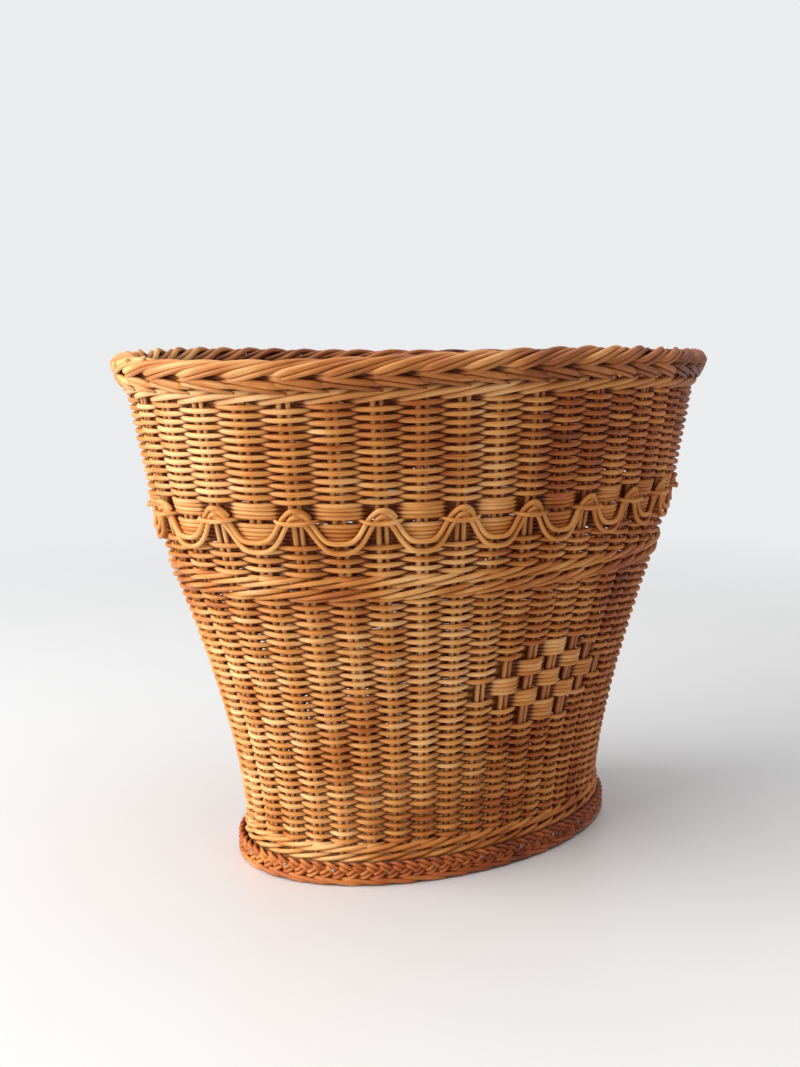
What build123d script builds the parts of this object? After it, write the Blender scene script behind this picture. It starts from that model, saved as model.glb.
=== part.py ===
"""Oval wicker wastebasket with a flat-band collar, a draped arch trim and a plaited foot.

Millimetres, +Z up.  The origin is the centre of the underside, X runs along the
oval and Y across it.  The wall is one layer of upright stake pairs with weavers
passing in front of and behind them.  Each woven zone is a closed ring of the wall's
true thickness, with one slot for every stake pair.
"""
import math
import os
from build123d import *

# ---- driving dimensions -------------------------------------------------------
HEIGHT = 305.0
OVAL_RATIO = 0.665          # width over length of the wall's outer face
STAKE_PAIRS = 44
NAIL_COUNT = 24

STAKE_RADIUS = 1.7
BYE_STAKE_RADIUS = 1.5
WEAVER = 2.7                # diameter of the round reed used for the weave
TRIM_RADIUS = 1.35          # reed of the draped trim
CLEARANCE = 0.15
FOOT_PAIR_SPACING = 3.3     # stake to bye-stake; the pairs open out with the wall
RIM_PAIR_SPACING = 4.6

WALL = 2.0 * WEAVER + 2.0 * STAKE_RADIUS
CORE = WALL / 2.0           # from the outer face in to the stakes' centre line

# heights of the tops of the layers, from the table up
FOOT_BORDER_TOP = 3.4
BOARD_TOP = 13.2
BOTTOM_WALE_ROWS = 2
BOTTOM_WALE_PITCH = 4.2
BOTTOM_WALE_TOP = BOARD_TOP + BOTTOM_WALE_ROWS * BOTTOM_WALE_PITCH
LOWER_WEAVE_TOP = 175.0
LOWER_WEAVE_ROWS = 64
DIAMOND_FIRST_ROW = 28      # rows of the lower weave that hold the raised diamond
DIAMOND_ROWS = 20
MID_WALE_ROWS = 2
MID_WALE_PITCH = 4.7
MID_WALE_TOP = LOWER_WEAVE_TOP + MID_WALE_ROWS * MID_WALE_PITCH
MID_WEAVE_TOP = 204.4
LOWER_BAND_TOP = 216.0
DIVIDER_TOP = 218.4
UPPER_BAND_TOP = 225.2
UPPER_WEAVE_TOP = 281.0
RIM_WALE_TOP = 288.2
RIM_LOWER_TOP = 294.2

# half length of the outer face: upright at the foot, then a flare that eases off
FOOT_HALF_LENGTH = 133.7
WALE_HALF_LENGTH = 178.5
FLARE_POWER = 1.45          # how late the lower flare opens out
LOWER_SPANS = 5             # straight spans that follow the lower flare
UPPER_HALF_LENGTHS = (
    (LOWER_WEAVE_TOP, WALE_HALF_LENGTH),
    (MID_WEAVE_TOP, 188.5),
    (UPPER_BAND_TOP, 194.5),
    (UPPER_WEAVE_TOP, 206.5),
    (HEIGHT, 211.5),
)

# how far pieces stand out from the wall's faces
BRAID_PROUD = 5.0
BRAID_ROUND_OVER = 1.4
BRAID_EDGE_SETBACK = 1.2    # of the plait's top and bottom edges behind its face
FOOT_BORDER_PROUD = 5.2
FOOT_BORDER_WIDTH = 13.0
FOOT_BORDER_SETBACKS = (1.2, 0.8)   # of its lower and upper edges
MID_WALE_PROUD = 1.2
DIVIDER_PROUD = 0.3
TRIM_GAP = 0.5              # between the wall and the draped trim

# sections of the rim's rings: height, then how far they stand out outside and inside
RIM_WALE_SECTION = (
    (UPPER_WEAVE_TOP, 0.8, 0.8),
    (UPPER_WEAVE_TOP + 4.0, 3.0, 1.4),
    (RIM_WALE_TOP, 3.4, 1.6),
)
RIM_LOWER_SECTION = (
    (RIM_WALE_TOP, 4.6, 1.6),
    (RIM_WALE_TOP + 3.0, 6.2, 2.4),
    (RIM_LOWER_TOP, 6.0, 2.6),
)
RIM_UPPER_SECTION = (
    (RIM_LOWER_TOP, 6.0, 2.6),
    (RIM_LOWER_TOP + 5.0, 5.8, 2.4),
    (HEIGHT, 1.6, -1.4),
)

NAIL_SHANK_RADIUS = 0.6
NAIL_HEAD_RADIUS = 1.2
NAIL_HEAD_THICKNESS = 0.7
NAIL_LENGTH = 6.8           # below the plait's face; it stops short of the stakes
NAIL_HEAD_GAP = 0.15        # the head stands just off the curved face
NAIL_HOLE_CLEARANCE = 0.05
NAIL_HEIGHT = 9.2

# draped trim: two parallel reeds, each rising over every second stake pair as a narrow
# arch and hanging between them as a wide swag.  Columns are counted from an arch's middle.
ARCH_STEP = 2
TRIM_END = 0.02             # columns; keeps the reeds' ends apart at the top of an arch
UPPER_TRIM = {"arch": 222.2, "shoulder": 0.31, "hip": 0.56, "hip_height": 208.6, "swag": 205.9}
LOWER_TRIM = {"arch": 218.4, "shoulder": 0.17, "hip": 0.46, "hip_height": 204.4, "swag": 200.6}
UPPER_TRIM_BENDS = (5.0, 8.0, 18.0, 8.0, 5.0)
LOWER_TRIM_BENDS = (3.2, 8.0, 18.0, 8.0, 3.2)


# ---- the oval and the stakes' places on it ------------------------------------
def half_length(z):
    """Half length of the wall's outer face at height z."""
    if z <= BOTTOM_WALE_TOP:
        return FOOT_HALF_LENGTH
    if z <= LOWER_WEAVE_TOP:
        climb = (z - BOTTOM_WALE_TOP) / (LOWER_WEAVE_TOP - BOTTOM_WALE_TOP)
        return FOOT_HALF_LENGTH + (WALE_HALF_LENGTH - FOOT_HALF_LENGTH) * climb ** FLARE_POWER
    for (z0, a0), (z1, a1) in zip(UPPER_HALF_LENGTHS, UPPER_HALF_LENGTHS[1:]):
        if z <= z1:
            return a0 + (a1 - a0) * (z - z0) / (z1 - z0)
    return UPPER_HALF_LENGTHS[-1][1]


def arc_table(steps=2880):
    """Length round the unit oval at evenly stepped angles, as a share of the whole."""
    lengths = [0.0]
    for i in range(steps):
        angle = 2.0 * math.pi * (i + 0.5) / steps
        lengths.append(lengths[-1] + math.hypot(math.sin(angle), OVAL_RATIO * math.cos(angle)))
    return [length / lengths[-1] for length in lengths]


ARC_SHARES = arc_table()


def angle_at(share):
    """Oval angle at a share of the way round, so that equal shares are equal lengths."""
    turns, share = divmod(share, 1.0)
    low, high = 0, len(ARC_SHARES) - 1
    while high - low > 1:
        middle = (low + high) // 2
        if ARC_SHARES[middle] <= share:
            low = middle
        else:
            high = middle
    part = (share - ARC_SHARES[low]) / (ARC_SHARES[high] - ARC_SHARES[low])
    return 2.0 * math.pi * (turns + (low + part) / (len(ARC_SHARES) - 1))


def column_angle(column):
    """Oval angle of a stake column, counted from the +X end; it may be between two."""
    return angle_at(column / STAKE_PAIRS)


def on_oval(angle, z, proud=0.0):
    """Point on the oval at height z, standing out from the wall's outer face by proud."""
    length = half_length(z)
    return Vector(
        (length + proud) * math.cos(angle),
        (length * OVAL_RATIO + proud) * math.sin(angle),
        z,
    )


def tangent_at(angle):
    """Unit vector round the oval."""
    return Vector(-math.sin(angle), OVAL_RATIO * math.cos(angle), 0.0).normalized()


def normal_at(angle):
    """Unit vector straight out of the oval."""
    return Vector(OVAL_RATIO * math.cos(angle), math.sin(angle), 0.0).normalized()


def oval_wire(z, proud):
    """Horizontal oval at height z, standing out from the wall's outer face by proud."""
    length = half_length(z)
    return Wire.make_ellipse(length + proud, length * OVAL_RATIO + proud, Plane(origin=(0, 0, z)))


def layer_heights(bottom, top):
    """Heights at which a layer's straight spans join."""
    span = (LOWER_WEAVE_TOP - BOTTOM_WALE_TOP) / LOWER_SPANS
    joins = [BOTTOM_WALE_TOP + span * i for i in range(LOWER_SPANS)]
    joins += [z for z, _ in UPPER_HALF_LENGTHS]
    return [bottom] + [z for z in joins if bottom + 0.01 < z < top - 0.01] + [top]


def lower_row_bottom(row):
    """Height of the underside of a row of the lower weave."""
    return BOTTOM_WALE_TOP + (LOWER_WEAVE_TOP - BOTTOM_WALE_TOP) * row / LOWER_WEAVE_ROWS


# ---- building blocks ------------------------------------------------------------
def ring(levels):
    """Oval ring from (height, outer proud, inner proud) levels, joined by straight spans."""
    outer = Solid.make_loft([oval_wire(z, out) for z, out, _ in levels], ruled=True)
    inner = Solid.make_loft([oval_wire(z, inside) for z, _, inside in levels], ruled=True)
    return outer - inner


def slot_wire(angle, z):
    """Outline of the slot that a stake pair stands in."""
    centre = on_oval(angle, z, -CORE)
    reach = pair_spacing(z) / 2.0 + STAKE_RADIUS + CLEARANCE
    along = tangent_at(angle) * reach
    across = normal_at(angle) * (STAKE_RADIUS + CLEARANCE)
    corners = [centre - along - across, centre + along - across,
               centre + along + across, centre - along + across]
    return Wire.make_polygon(corners)


def pair_spacing(z):
    """Distance from a stake to the bye-stake beside it."""
    opened = (half_length(z) - FOOT_HALF_LENGTH) / (half_length(HEIGHT) - FOOT_HALF_LENGTH)
    return FOOT_PAIR_SPACING + (RIM_PAIR_SPACING - FOOT_PAIR_SPACING) * opened


def woven_ring(bottom, top, proud=0.0):
    """Wall layer from bottom to top, with a slot for each stake pair."""
    heights = layer_heights(bottom, top)
    body = ring([(z, proud, -WALL - proud) for z in heights])
    slots = []
    for column in range(STAKE_PAIRS):
        angle = column_angle(column)
        slots.append(Solid.make_loft([slot_wire(angle, z) for z in heights], ruled=True))
    return body - slots


def upright_rods(radius, side, bottom, top):
    """One rod in each stake pair: side is -1 for the stakes and +1 for the bye-stakes."""
    rods = []
    for column in range(STAKE_PAIRS):
        angle = column_angle(column)
        sections = []
        for z in layer_heights(bottom, top):
            centre = on_oval(angle, z, -CORE) + tangent_at(angle) * (side * pair_spacing(z) / 2.0)
            sections.append(Wire.make_circle(radius, Plane(origin=centre)))
        rods.append(Solid.make_loft(sections, ruled=True))
    return rods


# ---- the pieces -------------------------------------------------------------------
def base_board():
    """Oval board with a hole for every stake and for every nail."""
    thickness = BOARD_TOP - FOOT_BORDER_TOP
    outline = Face(oval_wire(FOOT_BORDER_TOP, 0.0))
    board = Solid.extrude(outline, Vector(0, 0, thickness))
    holes = []
    for column in range(STAKE_PAIRS):
        angle = column_angle(column)
        centre = on_oval(angle, 0.0, -CORE) - tangent_at(angle) * (FOOT_PAIR_SPACING / 2.0)
        holes.append(Solid.make_cylinder(STAKE_RADIUS + CLEARANCE, BOARD_TOP, Plane(origin=centre)))
    return board - holes - nail_holes()


def nail_places():
    """Angle and outward direction of each nail in the plait."""
    for i in range(NAIL_COUNT):
        angle = angle_at((i + 0.5) / NAIL_COUNT)
        yield angle, normal_at(angle)


def nail_shafts(radius, start):
    """Straight shafts into the board, from start outside the plait's face."""
    shafts = []
    for angle, outward in nail_places():
        origin = on_oval(angle, NAIL_HEIGHT, BRAID_PROUD) + outward * start
        shafts.append(Solid.make_cylinder(radius, NAIL_LENGTH + start, Plane(origin=origin, z_dir=-outward)))
    return shafts


def nail_holes():
    """Cutting shafts for the nails, which run well past the plait's face."""
    return nail_shafts(NAIL_SHANK_RADIUS + NAIL_HOLE_CLEARANCE, NAIL_HEAD_RADIUS)


def braid_nails():
    """Flat-headed nails that hold the plait to the board's edge."""
    nails = []
    shafts = nail_shafts(NAIL_SHANK_RADIUS, NAIL_HEAD_GAP + NAIL_HEAD_THICKNESS / 2.0)
    for shaft, (angle, outward) in zip(shafts, nail_places()):
        seat = on_oval(angle, NAIL_HEIGHT, BRAID_PROUD) + outward * NAIL_HEAD_GAP
        head = Solid.make_cylinder(NAIL_HEAD_RADIUS, NAIL_HEAD_THICKNESS, Plane(origin=seat, z_dir=outward))
        nails.append((shaft + head).solid())
    return nails


def foot_border():
    """Stake ends laid down in a flat roll under the board; it stands on the floor."""
    edge = FOOT_BORDER_PROUD
    inside = FOOT_BORDER_PROUD - FOOT_BORDER_WIDTH
    lower, upper = FOOT_BORDER_SETBACKS
    return ring([(0.0, edge - lower, inside + lower),
                 (FOOT_BORDER_TOP / 2.0, edge, inside),
                 (FOOT_BORDER_TOP, edge - upper, inside + upper)])


def foot_braid():
    """Plaited strip round the edge of the board."""
    edge = BRAID_PROUD - BRAID_EDGE_SETBACK
    body = ring([(FOOT_BORDER_TOP, edge, CLEARANCE),
                 (FOOT_BORDER_TOP + BRAID_ROUND_OVER, BRAID_PROUD, CLEARANCE),
                 (BOARD_TOP - BRAID_ROUND_OVER, BRAID_PROUD, CLEARANCE),
                 (BOARD_TOP, edge, CLEARANCE)])
    return body - nail_holes()


def draped_reeds(shape, bends):
    """One reed of the draped trim: a separate length from each arch to the next."""
    reeds = []
    for arch in range(1, STAKE_PAIRS, ARCH_STEP):
        stops = [
            (TRIM_END, shape["arch"]),
            (shape["shoulder"], shape["arch"]),
            (shape["hip"], shape["hip_height"]),
            (ARCH_STEP / 2.0, shape["swag"]),
            (ARCH_STEP - shape["hip"], shape["hip_height"]),
            (ARCH_STEP - shape["shoulder"], shape["arch"]),
            (ARCH_STEP - TRIM_END, shape["arch"]),
        ]
        proud = TRIM_RADIUS + TRIM_GAP
        points = [on_oval(column_angle(arch + step), z, proud) for step, z in stops]
        route = FilletPolyline(*points, radius=list(bends))
        section = Wire.make_circle(TRIM_RADIUS, Plane(origin=route @ 0, z_dir=route % 0))
        reeds.append(Solid.sweep(section, route, transition=Transition.RIGHT))
    return reeds


def rim_ring(section):
    """Ring of the rim from its section."""
    return ring([(z, outer, -WALL - inner) for z, outer, inner in section])


def rim_wale():
    """Thick waling rows that fan out under the rolled rim."""
    slots = []
    for column in range(STAKE_PAIRS):
        angle = column_angle(column)
        slots.append(Solid.make_loft([slot_wire(angle, z) for z, _, _ in RIM_WALE_SECTION], ruled=True))
    return rim_ring(RIM_WALE_SECTION) - slots


def all_pieces():
    """Every node of the basket by name."""
    diamond_bottom = lower_row_bottom(DIAMOND_FIRST_ROW)
    diamond_top = lower_row_bottom(DIAMOND_FIRST_ROW + DIAMOND_ROWS)
    pieces = {
        "base_board": base_board(),
        "stakes": upright_rods(STAKE_RADIUS, -1, FOOT_BORDER_TOP, RIM_WALE_TOP),
        "bye_stakes": upright_rods(BYE_STAKE_RADIUS, 1, BOARD_TOP, RIM_WALE_TOP),
        "foot_border": foot_border(),
        "foot_braid": foot_braid(),
        "braid_nails": braid_nails(),
        "lower_weave": woven_ring(BOTTOM_WALE_TOP, diamond_bottom),
        "diamond_weave": woven_ring(diamond_bottom, diamond_top),
        "shoulder_weave": woven_ring(diamond_top, LOWER_WEAVE_TOP),
        "mid_weave": woven_ring(MID_WALE_TOP, MID_WEAVE_TOP),
        "lower_flat_band": woven_ring(MID_WEAVE_TOP, LOWER_BAND_TOP),
        "divider_row": woven_ring(LOWER_BAND_TOP, DIVIDER_TOP, DIVIDER_PROUD),
        "upper_flat_band": woven_ring(DIVIDER_TOP, UPPER_BAND_TOP),
        "upper_weave": woven_ring(UPPER_BAND_TOP, UPPER_WEAVE_TOP),
        "upper_draped_reed": draped_reeds(UPPER_TRIM, UPPER_TRIM_BENDS),
        "lower_draped_reed": draped_reeds(LOWER_TRIM, LOWER_TRIM_BENDS),
        "rim_wale": rim_wale(),
        "rim_border_lower": rim_ring(RIM_LOWER_SECTION),
        "rim_border_upper": rim_ring(RIM_UPPER_SECTION),
    }
    for row in range(BOTTOM_WALE_ROWS):
        bottom = BOARD_TOP + row * BOTTOM_WALE_PITCH
        pieces[f"bottom_wale_{row + 1}"] = woven_ring(bottom, bottom + BOTTOM_WALE_PITCH)
    for row in range(MID_WALE_ROWS):
        bottom = LOWER_WEAVE_TOP + row * MID_WALE_PITCH
        pieces[f"mid_wale_{row + 1}"] = woven_ring(bottom, bottom + MID_WALE_PITCH, MID_WALE_PROUD)
    return pieces


os.makedirs("parts", exist_ok=True)
for name, piece in all_pieces().items():
    shape = Compound(children=piece) if isinstance(piece, list) else piece
    export_step(shape, f"parts/{name}.step")
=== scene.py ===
"""Looks of the oval wicker wastebasket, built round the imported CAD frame.

Metres, in the CAD model's frame: the origin is the centre of the underside, X runs
along the oval, Y across it and Z up.  Every reed is a tube that follows its real path
over and under the stakes.  A place on the wall is given as (column, height, lift):
the column counts stake pairs round the oval from its +X end, and lift is the distance
out from the stakes' centre line.
"""
import math
import bpy
import numpy as np
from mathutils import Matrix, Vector


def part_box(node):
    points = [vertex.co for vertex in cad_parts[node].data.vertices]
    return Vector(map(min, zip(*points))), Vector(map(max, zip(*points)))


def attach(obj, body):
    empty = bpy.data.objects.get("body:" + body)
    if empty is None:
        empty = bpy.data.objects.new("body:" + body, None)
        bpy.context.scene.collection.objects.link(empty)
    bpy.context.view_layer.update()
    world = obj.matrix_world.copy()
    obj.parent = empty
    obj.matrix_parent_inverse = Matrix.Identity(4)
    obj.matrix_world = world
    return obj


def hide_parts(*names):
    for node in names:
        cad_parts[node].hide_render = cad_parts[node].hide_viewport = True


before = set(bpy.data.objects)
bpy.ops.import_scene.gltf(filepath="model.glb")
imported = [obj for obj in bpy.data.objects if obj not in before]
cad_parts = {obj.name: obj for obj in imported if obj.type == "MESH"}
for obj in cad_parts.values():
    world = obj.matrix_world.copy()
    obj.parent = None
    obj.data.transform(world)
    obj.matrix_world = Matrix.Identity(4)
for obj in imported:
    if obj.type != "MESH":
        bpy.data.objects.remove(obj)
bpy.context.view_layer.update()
dice = np.random.default_rng(7)

MM = 0.001

# ---- sizes read from the frame --------------------------------------------------


def node_top(node):
    """Height of a CAD node's top."""
    return float(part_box(node)[1][2])


def node_half_length(node):
    """Half length of a CAD node along the oval."""
    return float(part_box(node)[1][0])


COLUMNS = 44
FOOT_BORDER_TOP = node_top("foot_border")
BOARD_TOP = node_top("base_board")
BOTTOM_WALE_TOP = node_top("bottom_wale_2")
LOWER_WEAVE_TOP = node_top("shoulder_weave")
MID_WALE_TOP = node_top("mid_wale_2")
MID_WEAVE_TOP = node_top("mid_weave")
LOWER_BAND_TOP = node_top("lower_flat_band")
DIVIDER_TOP = node_top("divider_row")
UPPER_BAND_TOP = node_top("upper_flat_band")
UPPER_WEAVE_TOP = node_top("upper_weave")
RIM_WALE_TOP = node_top("rim_wale")
HEIGHT = node_top("rim_border_upper")

FOOT_HALF_LENGTH = node_half_length("base_board")
FLARE_TOP_HALF_LENGTH = node_half_length("shoulder_weave")
OVAL_RATIO = float(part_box("base_board")[1][1]) / FOOT_HALF_LENGTH
FLARE_POWER = 1.45

STAKE = 1.8 * MM            # radii of the round reeds
BYE_STAKE = 1.65 * MM
WEAVER = 1.4 * MM
TRIM = 1.35 * MM
CORE = 4.4 * MM             # from the wall's outer face in to the stakes' centre line
FOOT_PAIR_SPACING = 3.3 * MM
RIM_PAIR_SPACING = 4.6 * MM

# upper wall: half lengths at the tops of its zones, carried on above the upper weave
UPPER_LEVELS = [LOWER_WEAVE_TOP, MID_WEAVE_TOP, UPPER_BAND_TOP, UPPER_WEAVE_TOP]
UPPER_LENGTHS = [FLARE_TOP_HALF_LENGTH, node_half_length("mid_weave"),
                 node_half_length("upper_flat_band"), node_half_length("upper_weave")]
RIM_SLOPE = (UPPER_LENGTHS[-1] - UPPER_LENGTHS[-2]) / (UPPER_LEVELS[-1] - UPPER_LEVELS[-2])
UPPER_LEVELS.append(HEIGHT)
UPPER_LENGTHS.append(UPPER_LENGTHS[-1] + RIM_SLOPE * (HEIGHT - UPPER_WEAVE_TOP))

# rolled rim: the rods' centre line goes round this oval section
ROLL_LIFT = 1.3 * MM
ROLL_OUT = 7.2 * MM
ROLL_UP = 6.2 * MM
ROLL_HEIGHT = HEIGHT - ROLL_UP - 2.1 * MM   # its middle, with room for the rods' own thickness
RIM_SEAM = node_top("rim_border_lower")     # where the rim's two tiers part

# the handled mouth is no longer flat: waves round it, their height, the column of a crest
WARP = ((1, 1.7 * MM, 30.2), (2, 2.1 * MM, 12.6), (3, 1.2 * MM, 1.9))

# raised diamond: groups of rows that keep one phase, centred on the broad sides
DIAMOND_COLUMNS = (33, 11)
DIAMOND_HEIGHT = 113.5 * MM
DIAMOND_GROUPS = 5
DIAMOND_GROUP_ROWS = 4


# ---- places on the wall ------------------------------------------------------------
def arc_table(steps=2880):
    """Oval angles and the share of the way round at each, for equal arc lengths."""
    angles = np.linspace(0.0, 2.0 * math.pi, steps + 1)
    middles = (angles[1:] + angles[:-1]) / 2.0
    lengths = np.hypot(np.sin(middles), OVAL_RATIO * np.cos(middles))
    shares = np.concatenate([[0.0], np.cumsum(lengths)])
    return angles, shares / shares[-1]


ARC_ANGLES, ARC_SHARES = arc_table()


def oval_angle(column):
    """Oval angle of a column, or of a place between two columns."""
    turns, share = np.divmod(np.asarray(column, float) / COLUMNS, 1.0)
    return np.interp(share, ARC_SHARES, ARC_ANGLES) + 2.0 * math.pi * turns


def half_length(z):
    """Half length of the wall's outer face at height z."""
    z = np.asarray(z, float)
    climb = np.clip((z - BOTTOM_WALE_TOP) / (LOWER_WEAVE_TOP - BOTTOM_WALE_TOP), 0.0, 1.0)
    lower = FOOT_HALF_LENGTH + (FLARE_TOP_HALF_LENGTH - FOOT_HALF_LENGTH) * climb ** FLARE_POWER
    return np.where(z <= LOWER_WEAVE_TOP, lower, np.interp(z, UPPER_LEVELS, UPPER_LENGTHS))


def outward_at(column):
    """Unit vectors straight out of the oval."""
    angle = oval_angle(column)
    normal = np.stack([OVAL_RATIO * np.cos(angle), np.sin(angle), np.zeros_like(angle)], axis=-1)
    return normal / np.linalg.norm(normal, axis=-1, keepdims=True)


def warp(column, z):
    """How far the handled mouth has sprung up or down; it dies out at the collar."""
    climb = np.clip((z - UPPER_BAND_TOP) / (HEIGHT - UPPER_BAND_TOP), 0.0, 1.0)
    return climb * sum(height * np.cos(waves * 2.0 * math.pi * (column - crest) / COLUMNS)
                       for waves, height, crest in WARP)


def place(column, z, lift):
    """Points at places on the wall, with the mouth's warp added."""
    column, z, lift = np.broadcast_arrays(np.asarray(column, float), z, lift)
    angle = oval_angle(column)
    length = half_length(z)
    out = lift - CORE
    sprung = z + warp(column, z)
    x = (length + out) * np.cos(angle)
    y = (length * OVAL_RATIO + out) * np.sin(angle)
    return np.stack([x, y, sprung], axis=-1)


def pair_spacing(z):
    """Distance from a stake to the bye-stake beside it."""
    opened = (half_length(z) - FOOT_HALF_LENGTH) / (UPPER_LENGTHS[-1] - FOOT_HALF_LENGTH)
    return FOOT_PAIR_SPACING + (RIM_PAIR_SPACING - FOOT_PAIR_SPACING) * opened


def column_width(z):
    """Distance from one stake pair to the next."""
    length = half_length(z) - CORE
    around = math.pi * (3 * (1 + OVAL_RATIO) - math.sqrt((3 + OVAL_RATIO) * (1 + 3 * OVAL_RATIO)))
    return length * around / COLUMNS


def ripple(column, amount, waves=(3, 7, 13, 19)):
    """Smooth random wander round the oval that closes on itself."""
    column = np.asarray(column, float)
    total = np.zeros_like(column)
    for wave in waves:
        phase = dice.uniform(0.0, 2.0 * math.pi)
        total += np.sin(2.0 * math.pi * wave * column / COLUMNS + phase)
    return total * amount / math.sqrt(len(waves))


def smooth(t):
    """0 to 1 with level ends."""
    t = np.clip(t, 0.0, 1.0)
    return t * t * (3.0 - 2.0 * t)


# ---- reeds as meshes ------------------------------------------------------------------
class Reeds:
    """Collects reeds as tubes and joins them into one piece.

    Each vertex gets the attributes that the reed material reads: grain, a place in the
    reed's own space (along it, then across it), tone, which sets the reed's colour, and
    shade, 0 deep in the wall and 1 at its faces, from which the material paints shade into
    the gaps.  It rises more slowly towards the inner face, which gets more painted shade.
    """

    def __init__(self, sides=8):
        self.sides = sides
        self.vertices = []
        self.faces = []
        self.caps = []
        self.grain = []
        self.tone = []
        self.shade = []
        self.count = 0

    def add(self, points, outward, radius, lift=6.0 * MM, tone=None, deep=3.0 * MM):
        """One reed along points. outward sets its cross-section's first direction."""
        points = np.asarray(points, float)
        rings = len(points)
        outward = np.broadcast_to(outward, points.shape)
        radius = np.broadcast_to(radius, rings)[:, None, None]
        lift = np.broadcast_to(lift, rings)[:, None]
        along = np.gradient(points, axis=0)
        step = np.linalg.norm(along, axis=1)
        along = along / step[:, None]
        side = np.cross(along, outward)
        side /= np.linalg.norm(side, axis=1, keepdims=True)
        front = np.cross(side, along)
        turn = 2.0 * math.pi * np.arange(self.sides) / self.sides
        cos, sin = np.cos(turn)[None, :, None], np.sin(turn)[None, :, None]
        skin = points[:, None] + radius * (cos * front[:, None] + sin * side[:, None])
        travelled = np.concatenate([[0.0], np.cumsum(np.linalg.norm(np.diff(points, axis=0), axis=1))])
        start = dice.uniform(0.0, 2.0, 3)
        grain = np.stack(np.broadcast_arrays(
            travelled[:, None] + start[0],
            radius[..., 0] * cos[..., 0] + start[1],
            radius[..., 0] * sin[..., 0] + start[2]), axis=-1)
        # painted shade: reach is how far a vertex lies out from the middle of the wall, and the material
        # paints the reed darker where it is small; inward it counts half, so the inner face gets painted
        # shade too
        reach = lift + radius[..., 0] * cos[..., 0]
        reach = np.where(reach < 0.0, -0.5 * reach, reach)
        ring, corner = np.meshgrid(np.arange(rings - 1), np.arange(self.sides), indexing="ij")
        following = (corner + 1) % self.sides
        quads = np.stack([ring * self.sides + corner, ring * self.sides + following,
                          (ring + 1) * self.sides + following, (ring + 1) * self.sides + corner], axis=-1)
        self.vertices.append(skin.reshape(-1, 3))
        self.grain.append(grain.reshape(-1, 3))
        tone = np.broadcast_to(dice.uniform() if tone is None else tone, rings)
        self.tone.append(np.repeat(tone, self.sides))
        self.shade.append(np.broadcast_to(np.clip(reach / deep, 0.0, 1.0), (rings, self.sides)).reshape(-1))
        self.faces.append(quads.reshape(-1, 4) + self.count)
        first = np.arange(self.sides)[::-1] + self.count
        last = np.arange(self.sides) + self.count + (rings - 1) * self.sides
        self.caps += [first, last]
        self.count += rings * self.sides

    def build(self, name, material, slot, *nodes):
        """The collected reeds as one piece that stands for the CAD nodes."""
        mesh = bpy.data.meshes.new(name)
        quads = np.concatenate(self.faces)
        caps = np.array(self.caps)
        corners = np.concatenate([quads.reshape(-1), caps.reshape(-1)])
        cap_starts = len(quads) * 4 + np.arange(len(caps)) * self.sides
        starts = np.concatenate([np.arange(len(quads)) * 4, cap_starts])
        mesh.vertices.add(self.count)
        mesh.vertices.foreach_set("co", np.concatenate(self.vertices).reshape(-1))
        mesh.loops.add(len(corners))
        mesh.loops.foreach_set("vertex_index", corners)
        mesh.polygons.add(len(starts))
        mesh.polygons.foreach_set("loop_start", starts)
        mesh.update(calc_edges=True)
        mesh.validate()
        smoothness = np.ones(len(starts), bool)
        smoothness[len(quads):] = False
        mesh.polygons.foreach_set("use_smooth", smoothness)
        grain = mesh.attributes.new("grain", "FLOAT_VECTOR", "POINT")
        grain.data.foreach_set("vector", np.concatenate(self.grain).reshape(-1))
        for label, values in (("tone", self.tone), ("shade", self.shade)):
            attribute = mesh.attributes.new(label, "FLOAT", "POINT")
            attribute.data.foreach_set("value", np.concatenate(values))
        mesh.materials.append(material)
        piece = bpy.data.objects.new(name, mesh)
        bpy.context.scene.collection.objects.link(piece)
        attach(piece, "root")
        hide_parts(*nodes)
        return piece


def wall_reed(reeds, column, z, lift, radius, **options):
    """One reed along places on the wall."""
    reeds.add(place(column, z, lift), outward_at(column), radius, lift=lift, **options)


# ---- materials ----------------------------------------------------------------------
def linear(red, green, blue):
    """Linear colour from 0-255 display values."""
    values = []
    for value in (red, green, blue):
        share = value / 255.0
        values.append(share / 12.92 if share <= 0.04045 else ((share + 0.055) / 1.055) ** 2.4)
    return (*values, 1.0)


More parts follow.
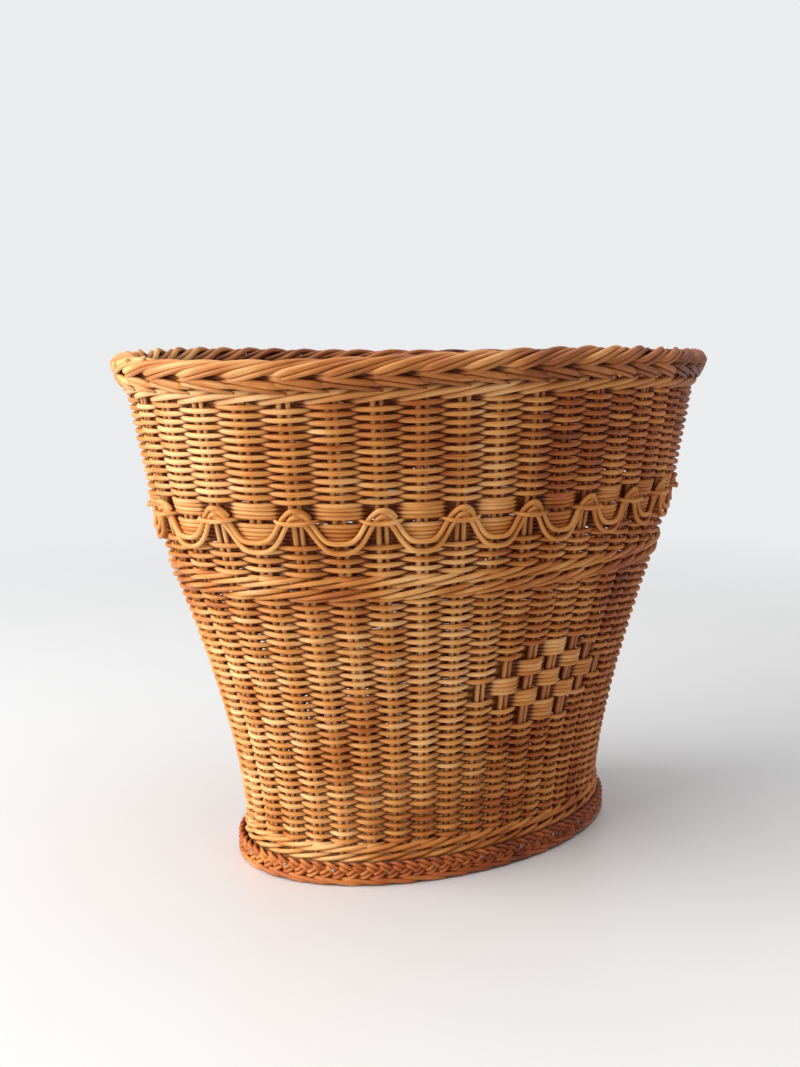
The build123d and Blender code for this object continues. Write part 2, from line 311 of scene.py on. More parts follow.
class Nodes:
    """Short names for making shader nodes."""

    def __init__(self, name):
        self.material = bpy.data.materials.new(name)
        self.material.use_nodes = True
        self.tree = self.material.node_tree
        self.shader = self.tree.nodes["Principled BSDF"]

    def new(self, kind, **settings):
        node = self.tree.nodes.new(kind)
        for key, value in settings.items():
            setattr(node, key, value)
        return node

    def link(self, output, target):
        self.tree.links.new(output, target)

    def attribute(self, name, output):
        return self.new("ShaderNodeAttribute", attribute_name=name).outputs[output]

    def math(self, operation, first, second):
        node = self.new("ShaderNodeMath", operation=operation)
        for socket, value in zip(node.inputs, (first, second)):
            if isinstance(value, (int, float)):
                socket.default_value = value
            else:
                self.link(value, socket)
        return node.outputs[0]

    def noise(self, vector, scale, stretch=(1.0, 1.0, 1.0), detail=3.0, roughness=0.55):
        mapping = self.new("ShaderNodeMapping")
        mapping.inputs["Scale"].default_value = [scale * part for part in stretch]
        self.link(vector, mapping.inputs["Vector"])
        noise = self.new("ShaderNodeTexNoise")
        noise.inputs["Scale"].default_value = 1.0
        noise.inputs["Detail"].default_value = detail
        noise.inputs["Roughness"].default_value = roughness
        self.link(mapping.outputs["Vector"], noise.inputs["Vector"])
        return noise.outputs["Fac"]

    def ramp(self, factor, stops):
        ramp = self.new("ShaderNodeValToRGB")
        band = ramp.color_ramp
        while len(band.elements) < len(stops):
            band.elements.new(0.5)
        for element, (position, colour) in zip(band.elements, stops):
            element.position = position
            element.color = colour
        self.link(factor, ramp.inputs["Fac"])
        return ramp.outputs["Color"]

    def spread(self, value, low, high, to_low=0.0, to_high=1.0):
        node = self.new("ShaderNodeMapRange")
        for socket, number in zip(list(node.inputs)[1:5], (low, high, to_low, to_high)):
            socket.default_value = number
        self.link(value, node.inputs["Value"])
        return node.outputs["Result"]

    def mix(self, mode, factor, first, second):
        node = self.new("ShaderNodeMix", data_type="RGBA", blend_type=mode)
        for name, value in (("Factor", factor), ("A", first), ("B", second)):
            socket = [s for s in node.inputs if s.name == name and s.enabled][0]
            if isinstance(value, (int, float, tuple)):
                socket.default_value = value
            else:
                self.link(value, socket)
        return [s for s in node.outputs if s.enabled][0]

    def bump(self, height, strength, distance):
        node = self.new("ShaderNodeBump")
        node.inputs["Strength"].default_value = strength
        node.inputs["Distance"].default_value = distance
        self.link(height, node.inputs["Height"])
        self.link(node.outputs["Normal"], self.shader.inputs["Normal"])


def reed_material(name, colours, gap_shade, patch=0.27, stain=0.3, gloss=0.42):
    """Varnished reed: lengthwise fibres, darker patches, a stain in places, painted shade in the gaps, and
    painted light towards the -X end and painted shade towards the +X end.
    """
    nodes = Nodes(name)
    grain = nodes.attribute("grain", "Vector")
    tone = nodes.attribute("tone", "Fac")
    shade = nodes.attribute("shade", "Fac")
    where = nodes.new("ShaderNodeTexCoord").outputs["Object"]

    fibres = nodes.noise(grain, 1500.0, (0.022, 1.0, 1.0), detail=4.0)
    lengths = nodes.noise(grain, 34.0, (1.0, 4.0, 4.0), detail=3.0)
    patches = nodes.noise(where, 17.0, (1.0, 1.0, 0.55), detail=3.0)
    stains = nodes.noise(grain, 60.0, (1.0, 6.0, 6.0), detail=4.0, roughness=0.65)

    level = nodes.spread(patches, 0.3, 0.7, 0.37 - patch, 0.37 + patch)
    level = nodes.math("ADD", level, nodes.math("MULTIPLY", tone, 0.26))
    level = nodes.math("ADD", level, nodes.spread(lengths, 0.3, 0.7, -0.16, 0.16))
    level = nodes.math("ADD", level, nodes.spread(fibres, 0.25, 0.75, -0.13, 0.13))
    sides = nodes.new("ShaderNodeSeparateXYZ")
    nodes.link(where, sides.inputs["Vector"])
    # painted light and shade: the colour level is raised towards the -X end, by the window, and lowered
    # towards the +X end
    level = nodes.math("ADD", level, nodes.spread(sides.outputs["X"], -0.2, 0.2, 0.24, -0.24))
    positions = np.linspace(0.0, 1.0, len(colours))
    colour = nodes.ramp(level, [(float(p), linear(*c)) for p, c in zip(positions, colours)])
    stained = nodes.spread(stains, 0.62, 0.74, 0.0, stain)
    colour = nodes.mix("MIX", stained, colour, linear(92, 42, 24))
    # painted shade: the +X end, away from the window, is darkened and reddened
    painted_side_shade = nodes.spread(sides.outputs["X"], -0.04, 0.2, 0.0, 0.9)
    colour = nodes.mix("MULTIPLY", painted_side_shade, colour, linear(222, 182, 130))
    # painted shade: the reed is darkened towards red-brown where its shade attribute is low, in the gaps
    # between reeds and on their inner faces
    painted_gap_shade = nodes.spread(shade, 0.25, 0.95, 1.0, 0.0)
    colour = nodes.mix("MULTIPLY", nodes.math("MULTIPLY", painted_gap_shade, gap_shade), colour, linear(120, 58, 24))
    nodes.link(colour, nodes.shader.inputs["Base Color"])

    rough = nodes.math("ADD", nodes.spread(fibres, 0.3, 0.7, gloss - 0.06, gloss + 0.1),
                       nodes.spread(patches, 0.3, 0.7, -0.05, 0.05))
    nodes.link(rough, nodes.shader.inputs["Roughness"])
    nodes.shader.inputs["Specular IOR Level"].default_value = 0.32
    nodes.shader.inputs["Coat Weight"].default_value = 0.06
    nodes.shader.inputs["Coat Roughness"].default_value = 0.3
    height = nodes.math("ADD", nodes.math("MULTIPLY", fibres, 0.75), nodes.math("MULTIPLY", stains, 0.25))
    nodes.bump(height, 0.55, 0.00025)
    return nodes.material


def board_material():
    """Plain sanded wood, with its grain along the oval."""
    nodes = Nodes("board_wood")
    where = nodes.new("ShaderNodeTexCoord").outputs["Object"]
    bands = nodes.noise(where, 90.0, (0.12, 1.0, 1.0), detail=5.0, roughness=0.6)
    pores = nodes.noise(where, 1400.0, (0.05, 1.0, 1.0), detail=2.0)
    colour = nodes.ramp(bands, [(0.3, linear(150, 104, 62)), (0.5, linear(186, 138, 88)),
                                (0.72, linear(205, 160, 108))])
    colour = nodes.mix("MULTIPLY", nodes.spread(pores, 0.52, 0.7, 0.0, 0.5), colour, linear(150, 110, 76))
    nodes.link(colour, nodes.shader.inputs["Base Color"])
    nodes.link(nodes.spread(bands, 0.3, 0.7, 0.5, 0.68), nodes.shader.inputs["Roughness"])
    nodes.bump(nodes.math("ADD", bands, pores), 0.4, 0.0003)
    return nodes.material


def nail_material():
    """Dull steel, tarnished in patches."""
    nodes = Nodes("nail_metal")
    where = nodes.new("ShaderNodeTexCoord").outputs["Object"]
    tarnish = nodes.noise(where, 900.0, detail=3.0)
    colour = nodes.ramp(tarnish, [(0.35, linear(112, 108, 104)), (0.65, linear(176, 176, 178))])
    nodes.link(colour, nodes.shader.inputs["Base Color"])
    nodes.shader.inputs["Metallic"].default_value = 0.85
    nodes.link(nodes.spread(tarnish, 0.3, 0.7, 0.3, 0.5), nodes.shader.inputs["Roughness"])
    nodes.bump(tarnish, 0.4, 0.0002)
    return nodes.material


# each reed's colours run from its darkest to its palest, and the number after them sets how strongly the
# material paints shade into its gaps
WEAVE = reed_material(
    "rattan_weave", [(104, 42, 10), (170, 88, 28), (210, 140, 68), (238, 188, 126)], gap_shade=0.95)
STAKES = reed_material(
    "rattan_stake", [(120, 56, 18), (180, 104, 40), (212, 146, 76), (238, 188, 122)], gap_shade=0.8)
TRIMS = reed_material(
    "rattan_trim", [(120, 56, 15), (184, 104, 38), (212, 144, 72), (236, 182, 114)], gap_shade=0.7)
RIM = reed_material(
    "rattan_rim", [(84, 34, 10), (148, 76, 28), (198, 124, 60), (234, 180, 114)], gap_shade=0.85, stain=0.65)
RIM_WALE = reed_material(
    "rattan_rim_wale", [(120, 56, 20), (180, 104, 44), (212, 148, 82), (236, 186, 128)], gap_shade=0.9)
FOOT = reed_material(
    "rattan_foot", [(80, 32, 10), (140, 62, 22), (180, 96, 38), (212, 138, 70)], gap_shade=0.95, stain=0.5)


# ---- stakes ------------------------------------------------------------------------
def stake_rods(radius, side, bottom, name, nodes):
    """One rod in each stake pair, from the board up into the rim."""
    reeds = Reeds(sides=10)
    z = np.linspace(bottom, RIM_WALE_TOP + 3.0 * MM, 60)
    for column in range(COLUMNS):
        spread = side * pair_spacing(z) / 2.0 / column_width(z)
        wander = 0.25 * MM * np.sin(z * 55.0 + dice.uniform(0.0, 6.3)) / column_width(z)
        lift = 0.12 * MM * np.sin(z * 70.0 + dice.uniform(0.0, 6.3))
        thick = radius * dice.uniform(0.94, 1.06)
        wall_reed(reeds, column + spread + wander, z, lift, thick, deep=2.0 * MM)
    reeds.build(name, STAKES, "rattan_stake", nodes)


# ---- plain weave ---------------------------------------------------------------------
FRONT = 3.05 * MM           # lift of a weaver's middle as it passes a stake pair
SAG = 0.5 * MM              # a weaver is packed lower in front of a pair than between pairs
DIAMOND_PAINTED_LIGHT = 1.0          # painted light: the diamond's longer floats are smoother, and are given a paler tone for the light on their flatter faces
BEND_SAMPLES = 9


def plain_phase(row, column):
    """True where a plain weaver passes in front."""
    return (row + column) % 2 == 0


def weave_phases(row, bottom, pitch, with_diamond):
    """In front or behind for each column of one row, and the columns that are in the diamond."""
    front = [plain_phase(row, column) for column in range(COLUMNS)]
    raised = [0.0] * COLUMNS
    if not with_diamond:
        return front, raised
    middle = (DIAMOND_HEIGHT - bottom) / pitch
    first = round(middle - DIAMOND_GROUPS * DIAMOND_GROUP_ROWS / 2.0)
    group = (row - first) // DIAMOND_GROUP_ROWS
    if 0 <= group < DIAMOND_GROUPS:
        width = DIAMOND_GROUPS // 2 + 1 - abs(group - DIAMOND_GROUPS // 2)
        for centre in DIAMOND_COLUMNS:
            for step in range(-width, width + 1):
                front[centre + step] = (step + group) % 2 == 0
                raised[centre + step] = 1.0
    return front, raised


def weaver_lift(column, front, amount):
    """Lift of a weaver that bends from column to column."""
    start = np.floor(column).astype(int)
    share = column - start
    signs = np.where(np.array(front), 1.0, -1.0)
    here, following = signs[start % COLUMNS], signs[(start + 1) % COLUMNS]
    bend = (1.0 - np.cos(math.pi * share)) / 2.0
    return amount * (here + (following - here) * bend)


def around(start, turns=1):
    """Columns for a reed that goes all the way round, its two ends nearly meeting."""
    end_gap = 0.04
    return np.linspace(start + end_gap, start + turns * COLUMNS - end_gap, turns * COLUMNS * BEND_SAMPLES + 1)


def weave_zone(name, nodes, bottom, top, rows, parts=1, with_diamond=False):
    """Plain weave from bottom to top, in a few pieces so that none is too heavy."""
    pitch = (top - bottom) / rows
    stations = np.arange(0.0, COLUMNS, 0.25)
    shared_wander = ripple(stations, 0.22 * MM)
    per_part = math.ceil(rows / parts)
    for part in range(parts):
        reeds = Reeds()
        for row in range(part * per_part, min(rows, (part + 1) * per_part)):
            start = dice.integers(2, 21)
            column = around(start)
            front, raised = weave_phases(row, bottom, pitch, with_diamond)
            diamond = np.interp(column % COLUMNS, range(COLUMNS), raised, period=COLUMNS)
            edge = min(row + 0.5, rows - row - 0.5) / 3.0
            wander = np.interp(column % COLUMNS, stations, shared_wander, period=COLUMNS)
            bend = weaver_lift(column, front, 1.0)
            z = bottom + (row + 0.5) * pitch + wander * min(1.0, edge)
            z = z + ripple(column, 0.09 * MM, (5, 11, 17, 23))
            z = z - SAG * bend * (1.0 - diamond)
            lift = FRONT * bend + 0.5 * MM * diamond * bend + ripple(column, 0.12 * MM, (9, 15, 27, 31))
            swell = 0.9 + 0.14 * np.clip(bend, 0.0, 1.0) + ripple(column, 0.02, (6, 10, 14))
            # painted light: floats in the diamond get a paler tone
            tone = dice.uniform() + DIAMOND_PAINTED_LIGHT * diamond
            thick = WEAVER * dice.uniform(0.95, 1.05) * swell
            wall_reed(reeds, column, z, lift, thick, tone=tone, deep=1.7 * MM)
        suffix = "" if parts == 1 else f"_{part + 1}"
        reeds.build(f"reed_{name}{suffix}", WEAVE, "rattan_weave", *nodes)


# ---- wales -----------------------------------------------------------------------------
WALE_PERIOD = 3             # a wale reed passes in front of two stake pairs and behind one
WALE_REED = 1.4 * MM
WALE_LIFTS = (3.2 * MM, 5.0 * MM)       # where a stroke starts, under the one before, and where it ends
RIM_WALE_REED = 1.75 * MM
RIM_WALE_LIFTS = (3.6 * MM, 5.0 * MM)


def wale_row(reeds, middle, radius, rise, lifts, shift=0.0):
    """Three-rod wale: one reed that goes round three times, each stroke rising as it goes."""
    column = around(dice.integers(2, 21), turns=WALE_PERIOD)
    phase = (column + shift + 0.5) % WALE_PERIOD
    over = phase < 2.0
    stroke = phase / 2.0
    back = phase - 2.0
    climb = np.where(over, -1.0 + 2.0 * stroke, 1.0 - 2.0 * smooth(back))
    bulge = np.sin(math.pi * np.clip(stroke, 0.0, 1.0)) ** 0.6
    outer = lifts[0] + (lifts[1] - lifts[0]) * smooth(stroke)
    lift = np.where(over, bulge * outer, -np.sin(math.pi * np.clip(back, 0.0, 1.0)) ** 0.8 * FRONT)
    z = middle + rise * climb + ripple(column, 0.1 * MM)
    taper = 0.9 + 0.12 * np.where(over, bulge, 0.0) + ripple(column, 0.02)
    wall_reed(reeds, column, z, lift, radius * taper, deep=2.0 * MM)


def wale(name, nodes, bottom, top, radius, lifts, material, slot):
    """One wale row for each node, one above the other."""
    pitch = (top - bottom) / len(nodes)
    for row, node in enumerate(nodes):
        reeds = Reeds(sides=10)
        wale_row(reeds, bottom + (row + 0.5) * pitch, radius, pitch / 2.0, lifts, shift=row * 1.4)
        reeds.build(f"reed_{name}_{row + 1}", material, slot, node)


# ---- collar: flat bands, divider and draped trim ---------------------------------------------
def flat_band(name, node, bottom, top, rows):
    """Reeds side by side, in front of the even columns and behind the odd ones."""
    reeds = Reeds()
    pitch = (top - bottom) / rows
    front = [column % 2 == 0 for column in range(COLUMNS)]
    for row in range(rows):
        column = around(dice.integers(1, 10) * 2 + 1)
        z = bottom + (row + 0.5) * pitch + ripple(column, 0.06 * MM)
        lift = weaver_lift(column, front, FRONT) + ripple(column, 0.06 * MM)
        wall_reed(reeds, column, z, lift, pitch * 0.54, deep=1.3 * MM)
    reeds.build(name, WEAVE, "rattan_weave", node)


DIVIDER_REED = 1.25 * MM
DIVIDER_SAG = 1.5 * MM
DIVIDER_LIFT = 7.0 * MM     # it holds down the legs of the draped arches


def divider():
    """One reed between the bands, in front of the arches and behind the columns between."""
    reeds = Reeds()
    column = around(2)
    front = [column_index % 2 == 1 for column_index in range(COLUMNS)]
    weave = weaver_lift(column, front, 1.0)
    passing = np.sin(math.pi / 2.0 * np.clip(weave / 0.5, 0.0, 1.0))
    lift = np.where(weave > 0.0, passing * DIVIDER_LIFT, weave * FRONT)
    middle = (LOWER_BAND_TOP + DIVIDER_TOP) / 2.0
    sag = DIVIDER_SAG * np.clip(weave, 0.0, 1.0)
    thick = DIVIDER_REED * (0.75 + 0.25 * np.clip(weave, 0.0, 1.0))
    wall_reed(reeds, column, middle + DIVIDER_SAG / 2.0 - sag, lift, thick, tone=0.7)
    reeds.build("reed_divider_row", TRIMS, "rattan_trim", "divider_row")


def drape_height(distance, peak, valley, pinch, power):
    """Height of a draped reed at a distance, in columns, from the middle of an arch."""
    reach = np.tan(math.pi / 2.0 * np.clip(distance, 0.0, 0.999))
    return valley + (peak - valley) / (1.0 + (pinch * reach) ** power)


def evenly(values, heights, width, count):
    """Resamples a curve of (value, height) to even steps along it."""
    steps = np.hypot(np.diff(values) * width, np.diff(heights))
    travelled = np.concatenate([[0.0], np.cumsum(steps)])
    wanted = np.linspace(0.0, travelled[-1], count)
    return np.interp(wanted, travelled, values), np.interp(wanted, travelled, heights)


# peak and valley heights, how narrow and how square the arches are, and how far an end is tucked in
UPPER_DRAPE = (222.0 * MM, 205.8 * MM, 1.22, 2.9, 0.34)
LOWER_DRAPE = (218.6 * MM, 200.4 * MM, 1.45, 2.4, 0.2)


def draped_trim(name, node, peak, valley, pinch, power, tuck):
    """Lengths of reed from each arch to the next, each one's end laid over the next one's start."""
    reeds = Reeds(sides=10)
    for arch in range(1, COLUMNS, 2):
        dense = np.linspace(-0.04, 2.0 + tuck, 900)
        apart = np.abs(np.where(dense > 1.0, 2.0 - dense, dense))
        heights = drape_height(apart, peak, valley, pinch, power)
        steps, z = evenly(dense, heights, column_width(valley), 84)
        distance = np.abs(np.where(steps > 1.0, 2.0 - steps, steps))
        over = smooth((steps - 1.75) / 0.25)
        z = z + over * 1.6 * MM + ripple(arch + steps, 0.12 * MM)
        lift = 3.4 * MM + 2.3 * MM * smooth((distance - 0.35) / 0.5) + over * 1.2 * MM
        lift = lift - 2.6 * MM * smooth((steps - 2.0) / tuck)
        column = arch + steps + ripple(np.full(1, arch), 0.02)[0]
        thick = TRIM * dice.uniform(0.95, 1.05)
        wall_reed(reeds, column, z, lift, thick, tone=dice.uniform(0.3, 0.9))
    reeds.build(name, TRIMS, "rattan_trim", node)


# ---- rolled rim ------------------------------------------------------------------------------
def on_roll(column, turn, inset):
    """Places and outward directions on the rolled rim; turn is degrees, 0 out and 90 up."""
    angle = np.radians(turn)
    lift = ROLL_LIFT + (ROLL_OUT - inset) * np.cos(angle)
    z = ROLL_HEIGHT + (ROLL_UP - inset) * np.sin(angle)
    flat = outward_at(column)
    outward = flat * np.cos(angle)[:, None] + np.array([0.0, 0.0, 1.0]) * np.sin(angle)[:, None]
    return place(column, z, lift), outward


RIM_RODS = ((2.0 * MM, -0.5 * MM, 0.0), (1.35 * MM, 2.6 * MM, 0.9 * MM))  # radius, offset, depth
RIM_TAPER_RINGS = 9.0       # over which a rod grows to its full thickness
RIM_TIP_STEEPNESS = 1.6     # a tip thins this much faster than a root
RIM_ROOT = 0.35             # share of its thickness that a rod has where it comes out
RIM_ROOT_DEPTH = 4.6 * MM   # how far inside the roll a rod starts, under the ones before it
RIM_DEPTH = 6.8 * MM        # from the roll's face in to where the painted shade in its gaps is darkest
RIM_CORE_TURNS = (-50.0, 50.0, 150.0, 215.0)            # where the core's plain reeds lie in the roll
RIM_CORE_REED = 1.8 * MM
RIM_CORE_DEPTH = 4.4 * MM
RIM_STUBS = ((20.5, 24.0), (21.1, 52.0), (21.7, 74.0))  # cut ends that stick out: column, turn
RIM_STUB_REED = 1.5 * MM


def rim_pair(reeds, points, outward, depth, tone, tip=1.0):
    """A stake and its bye-stake bent over side by side, thin where they come out of the roll.

    tip is the share of their thickness that is left at their far ends.
    """
    along = np.gradient(points, axis=0)
    side = np.cross(along, outward)
    side /= np.linalg.norm(side, axis=1, keepdims=True)
    rings = len(points)
    from_root = np.linspace(0.0, rings / RIM_TAPER_RINGS, rings)
    from_tip = np.linspace(rings / RIM_TAPER_RINGS, 0.0, rings) * RIM_TIP_STEEPNESS
    taper = RIM_ROOT + (1.0 - RIM_ROOT) * smooth(from_root)
    taper = taper * (tip + (1.0 - tip) * smooth(from_tip))
    for radius, offset, sunk in RIM_RODS:
        thick = radius * dice.uniform(0.93, 1.05) * taper
        shade = np.clip(tone + dice.uniform(-0.2, 0.2), 0.0, 1.0)
        # painted shade: a rod is darker the deeper it lies in the roll, and the sunk companion rod darker
        # still
        reeds.add(points + side * offset - outward * sunk, outward, thick,
                  lift=6.0 * MM - depth - 1.6 * sunk, tone=shade, deep=RIM_DEPTH)


def rim_lower_pairs(reeds):
    """Ends that lean down over the wale, each narrowed and tucked in at its tip."""
    for column in range(COLUMNS):
        share = np.linspace(0.0, 1.0, 26)
        depth = RIM_ROOT_DEPTH * (1.0 - smooth(share / 0.3)) + 1.2 * MM * smooth((share - 0.7) / 0.3)
        places = column - 0.35 + dice.uniform(-0.05, 0.05) + dice.uniform(1.35, 1.6) * share
        z = RIM_SEAM + 1.4 * MM - 6.2 * MM * share + dice.uniform(-0.4, 0.4) * MM
        lift = 7.6 * MM - 0.8 * MM * share - depth
        points, tone = place(places, z, lift), dice.uniform(0.0, 0.6)
        rim_pair(reeds, points, outward_at(places), depth, tone, tip=0.5)


def rim_upper_pairs(reeds):
    """Pairs that come out under the ones before, then go up and over the top."""
    for column in range(COLUMNS):
        share = np.linspace(0.0, 1.0, 46)
        depth = RIM_ROOT_DEPTH * (1.0 - smooth(share / 0.18)) + 2.2 * MM * smooth((share - 0.6) / 0.4)
        places = column - 0.5 + dice.uniform(-0.06, 0.06) + 3.6 * share
        dip = 20.0 * (1.0 - smooth(share / 0.16))
        turn = -24.0 + dip + 244.0 * share ** 1.25 + dice.uniform(-3.0, 3.0)
        points, outward = on_roll(places, turn, depth)
        rim_pair(reeds, points, outward, depth, dice.uniform())


def rim_border():
    """Two tiers of bent stakes and bye-stakes round a core of plain reeds."""
    lower, upper = Reeds(sides=10), Reeds(sides=10)
    rim_lower_pairs(lower)
    rim_upper_pairs(upper)
    for turn in RIM_CORE_TURNS:
        column = around(dice.integers(2, 21))
        points, outward = on_roll(column, np.full(len(column), turn), RIM_CORE_DEPTH)
        # painted shade: lift 0 paints the core reeds dark all over, for the shade inside the roll
        lower.add(points, outward, RIM_CORE_REED, lift=0.0, deep=6.5 * MM)
    for column, turn in RIM_STUBS:
        places = np.full(5, column)
        points, outward = on_roll(places, np.full(5, turn), np.linspace(2.0, -2.8, 5) * MM)
        upper.add(points, outward_at(places + COLUMNS / 4.0), RIM_STUB_REED)
    lower.build("rim_rods_lower", RIM, "rattan_rim", "rim_border_lower")
    upper.build("rim_rods_upper", RIM, "rattan_rim", "rim_border_upper")


# ---- foot ------------------------------------------------------------------------------------
BRAID_PERIODS = 31
BRAID_LIFT = 6.6 * MM
BRAID_HALF_HEIGHT = 2.9 * MM
BRAID_REED = 1.2 * MM
BRAID_WEAVE = 1.6 * MM      # how far a strand moves out and in as it crosses the others
BORDER_REED = 1.5 * MM
BORDER_DROP = 3.2 * MM      # from where a border end comes out to where it lies on the floor


def foot_braid():
    """Flat three-strand plait of doubled reeds round the board's edge."""
    reeds = Reeds()
    middle = (FOOT_BORDER_TOP + BOARD_TOP) / 2.0 + 0.4 * MM
    column = np.linspace(0.02, COLUMNS - 0.02, BRAID_PERIODS * 20 + 1)
    around_length = COLUMNS * column_width(middle)
    for strand in range(3):
        phase = 2.0 * math.pi * (BRAID_PERIODS * column / COLUMNS + strand / 3.0)
        lean = np.arctan(BRAID_HALF_HEIGHT * 2.0 * math.pi * BRAID_PERIODS / around_length * np.cos(phase))
        for side in (-1.0, 1.0):
            z = middle + BRAID_HALF_HEIGHT * np.sin(phase) + side * BRAID_REED * np.cos(lean)
            sideways = -side * BRAID_REED * np.sin(lean) / column_width(middle)
            over = -BRAID_WEAVE * np.sin(2.0 * phase) + ripple(column, 0.1 * MM)
            # painted shade: plait strands are darker where they pass behind the others
            reeds.add(place(column + sideways, z, BRAID_LIFT + over), outward_at(column),
                      BRAID_REED * dice.uniform(0.97, 1.05), lift=over + 2.0 * MM, deep=3.6 * MM)
    reeds.build("plait_foot_braid", FOOT, "rattan_foot", "foot_braid")


def foot_border():
    """Stake ends laid down in a flat roll under the board, each passing under the next ones."""
    reeds = Reeds(sides=10)
    for column in range(COLUMNS):
        share = np.linspace(0.0, 1.0, 34)
        places = column - 0.4 + 3.4 * share + dice.uniform(-0.08, 0.08)
        z = BORDER_REED + BORDER_DROP * (1.0 - smooth(share / 0.62))
        lift = np.interp(share, (0.0, 0.2, 0.55, 0.8, 1.0),
                         (4.0 * MM, 8.0 * MM, 7.8 * MM, 2.4 * MM, -1.2 * MM))
        # painted shade: border ends are darker where they come out of the wall and where they tuck in under
        # the board
        reeds.add(place(places, z, lift), outward_at(places), BORDER_REED * dice.uniform(0.92, 1.0),
                  lift=lift - 4.0 * MM, deep=5.0 * MM)
    reeds.build("roll_foot_border", FOOT, "rattan_foot", "foot_border")


NAILS = 24
NAIL_SIDES = 16
NAIL_SEAT = BRAID_LIFT + 1.9 * MM
# from the point of the shank to the top of the dome, in mm: reach out of the plait, radius
NAIL_PROFILE = ((-5.5, 0.55), (-0.5, 0.55), (-0.5, 1.15), (0.0, 1.2), (0.35, 0.95), (0.55, 0.5), (0.6, 0.02))


def nails():
    """Domed nail heads pressed into the plait, each on its shank."""
    low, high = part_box("braid_nails")
    mesh = bpy.data.meshes.new("nail_heads")
    vertices, faces = [], []
    z = (low[2] + high[2]) / 2.0
    sides = NAIL_SIDES
    for nail in range(NAILS):
        column = (nail + 0.5) * COLUMNS / NAILS
        outward = outward_at(column)
        centre = place(column, z, NAIL_SEAT)
        across = np.array([-outward[1], outward[0], 0.0])
        base = len(vertices)
        for reach, radius in NAIL_PROFILE:
            for k in range(sides):
                turn = 2.0 * math.pi * k / sides
                offset = across * math.cos(turn) + np.array([0.0, 0.0, 1.0]) * math.sin(turn)
                vertices.append(centre + (outward * reach + offset * radius) * MM)
        for ring in range(len(NAIL_PROFILE) - 1):
            for k in range(sides):
                a, b = base + ring * sides + k, base + ring * sides + (k + 1) % sides
                faces.append((a, b, b + sides, a + sides))
        faces.append([base + k for k in reversed(range(sides))])
        faces.append([base + (len(NAIL_PROFILE) - 1) * sides + k for k in range(sides)])
    mesh.from_pydata(vertices, [], faces)
    mesh.polygons.foreach_set("use_smooth", [True] * len(mesh.polygons))
    mesh.materials.append(nail_material())
    piece = bpy.data.objects.new("nail_heads", mesh)
    bpy.context.scene.collection.objects.link(piece)
    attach(piece, "root")
    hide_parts("braid_nails")


# ---- stage, light and camera --------------------------------------------------------------------
FLOOR_HALF_SIZE = 1.6
FLOOR_FADE = (0.5, 1.5)     # the floor is solid nearer than this, and gone further out
LIGHT_TARGET = (0.0, 0.0, 0.15)
WINDOW_POWER = 85.0
CEILING_POWER = 24.0
ROOM_FILL = 0.47
CAMERA_PLACE = (-0.671, -0.648, 0.3205)
CAMERA_FORWARD = (0.6984, 0.7019, -0.1399)
CAMERA_LENS = 49.93


def stage_material():
    """Matt white floor that fades into the pale room further out."""
    nodes = Nodes("floor_white")
    where = nodes.new("ShaderNodeTexCoord").outputs["Object"]
    mottle = nodes.noise(where, 6.0, detail=2.0)
    colour = nodes.ramp(mottle, [(0.3, (0.74, 0.752, 0.765, 1.0)), (0.7, (0.755, 0.767, 0.78, 1.0))])
    nodes.link(colour, nodes.shader.inputs["Base Color"])
    nodes.shader.inputs["Roughness"].default_value = 0.38
    distance = nodes.new("ShaderNodeVectorMath", operation="LENGTH")
    nodes.link(where, distance.inputs[0])
    fade = nodes.new("ShaderNodeMapRange", interpolation_type="SMOOTHSTEP")
    near, far = FLOOR_FADE
    for name, number in (("From Min", near), ("From Max", far), ("To Min", 1.0), ("To Max", 0.0)):
        fade.inputs[name].default_value = number
    nodes.link(distance.outputs["Value"], fade.inputs["Value"])
    nodes.link(fade.outputs["Result"], nodes.shader.inputs["Alpha"])
    return nodes.material


def stage():
    """A pale floor."""
    mesh = bpy.data.meshes.new("floor")
    size = FLOOR_HALF_SIZE
    corners = [(-size, -size, 0), (size, -size, 0), (size, size, 0), (-size, size, 0)]
    mesh.from_pydata(corners, [], [(0, 1, 2, 3)])
    mesh.materials.append(stage_material())
    floor = bpy.data.objects.new("floor", mesh)
    bpy.context.scene.collection.objects.link(floor)


def area_light(name, position, target, size, power, colour):
    """Soft rectangular light that faces target."""
    data = bpy.data.lights.new(name, "AREA")
    data.shape = "RECTANGLE"
    data.size, data.size_y = size
    data.energy = power
    data.color = colour
    lamp = bpy.data.objects.new(name, data)
    lamp.location = position
    lamp.rotation_mode = "QUATERNION"
    lamp.rotation_quaternion = (Vector(target) - Vector(position)).to_track_quat("-Z", "Y")
    bpy.context.scene.collection.objects.link(lamp)


def lights():
    """A wide window on the left and a pale room, which looks brighter than the fill that it gives."""
    world = bpy.data.worlds.new("pale_room")
    bpy.context.scene.world = world
    world.use_nodes = True
    tree = world.node_tree
    fill = tree.nodes["Background"]
    fill.inputs["Color"].default_value = (1.0, 0.985, 0.97, 1.0)
    fill.inputs["Strength"].default_value = ROOM_FILL
    seen = tree.nodes.new("ShaderNodeBackground")
    seen.inputs["Color"].default_value = (0.83, 0.84, 0.855, 1.0)
    path = tree.nodes.new("ShaderNodeLightPath")
    either = tree.nodes.new("ShaderNodeMixShader")
    tree.links.new(path.outputs["Is Camera Ray"], either.inputs["Fac"])
    tree.links.new(fill.outputs["Background"], either.inputs[1])
    tree.links.new(seen.outputs["Background"], either.inputs[2])
    tree.links.new(either.outputs["Shader"], tree.nodes["World Output"].inputs["Surface"])
    area_light("window", (-1.9, 0.8, 1.1), LIGHT_TARGET, (2.6, 2.0), WINDOW_POWER, (1.0, 0.985, 0.965))
    area_light("ceiling", (0.3, 0.0, 2.3), LIGHT_TARGET, (3.0, 3.0), CEILING_POWER, (1.0, 1.0, 1.0))


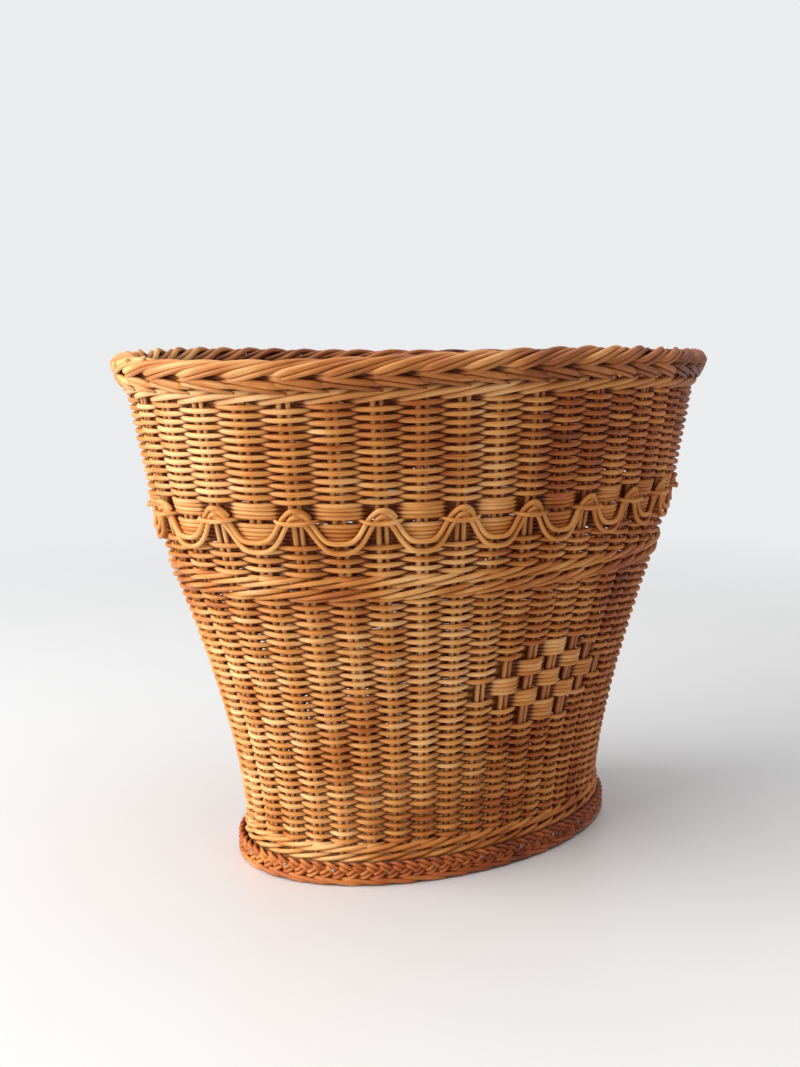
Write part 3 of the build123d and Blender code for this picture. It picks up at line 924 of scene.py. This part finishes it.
def camera():
    """The viewpoint: low, in front of the basket and towards its left end."""
    data = bpy.data.cameras.new("camera")
    data.lens = CAMERA_LENS
    data.sensor_width = 36.0
    data.clip_start = 0.02
    eye = bpy.data.objects.new("camera", data)
    eye.location = CAMERA_PLACE
    eye.rotation_mode = "QUATERNION"
    eye.rotation_quaternion = Vector(CAMERA_FORWARD).to_track_quat("-Z", "Y")
    bpy.context.scene.collection.objects.link(eye)
    bpy.context.scene.camera = eye


def basket():
    """Every piece of the basket, from the foot up."""
    stake_rods(STAKE, -1, FOOT_BORDER_TOP, "rods_stakes", "stakes")
    stake_rods(BYE_STAKE, 1, BOARD_TOP, "rods_bye_stakes", "bye_stakes")
    foot_border()
    foot_braid()
    nails()
    wale("bottom_wale", ["bottom_wale_1", "bottom_wale_2"], BOARD_TOP - 1.4 * MM, BOTTOM_WALE_TOP + 2.0 * MM,
         WALE_REED, WALE_LIFTS, WEAVE, "rattan_weave")
    weave_zone("lower_weave", ["lower_weave", "diamond_weave", "shoulder_weave"],
               BOTTOM_WALE_TOP, LOWER_WEAVE_TOP, 64, parts=4, with_diamond=True)
    wale("mid_wale", ["mid_wale_1", "mid_wale_2"], LOWER_WEAVE_TOP - 2.0 * MM, MID_WALE_TOP + 2.0 * MM,
         WALE_REED, WALE_LIFTS, WEAVE, "rattan_weave")
    weave_zone("mid_weave", ["mid_weave"], MID_WALE_TOP, MID_WEAVE_TOP, 8)
    flat_band("reed_lower_flat_band", "lower_flat_band", MID_WEAVE_TOP, LOWER_BAND_TOP, 5)
    flat_band("reed_upper_flat_band", "upper_flat_band", DIVIDER_TOP, UPPER_BAND_TOP, 3)
    divider()
    draped_trim("reed_upper_drape", "upper_draped_reed", *UPPER_DRAPE)
    draped_trim("reed_lower_drape", "lower_draped_reed", *LOWER_DRAPE)
    weave_zone("upper_weave", ["upper_weave"], UPPER_BAND_TOP, UPPER_WEAVE_TOP, 25, parts=2)
    wale("rim_wale", ["rim_wale"], UPPER_WEAVE_TOP + 0.8 * MM, RIM_WALE_TOP + 0.2 * MM,
         RIM_WALE_REED, RIM_WALE_LIFTS, RIM_WALE, "rattan_rim")
    rim_border()


basket()
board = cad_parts["base_board"]
board.data.materials.clear()
board.data.materials.append(board_material())
stage()
lights()
camera()
bpy.context.scene.view_settings.view_transform = "Standard"
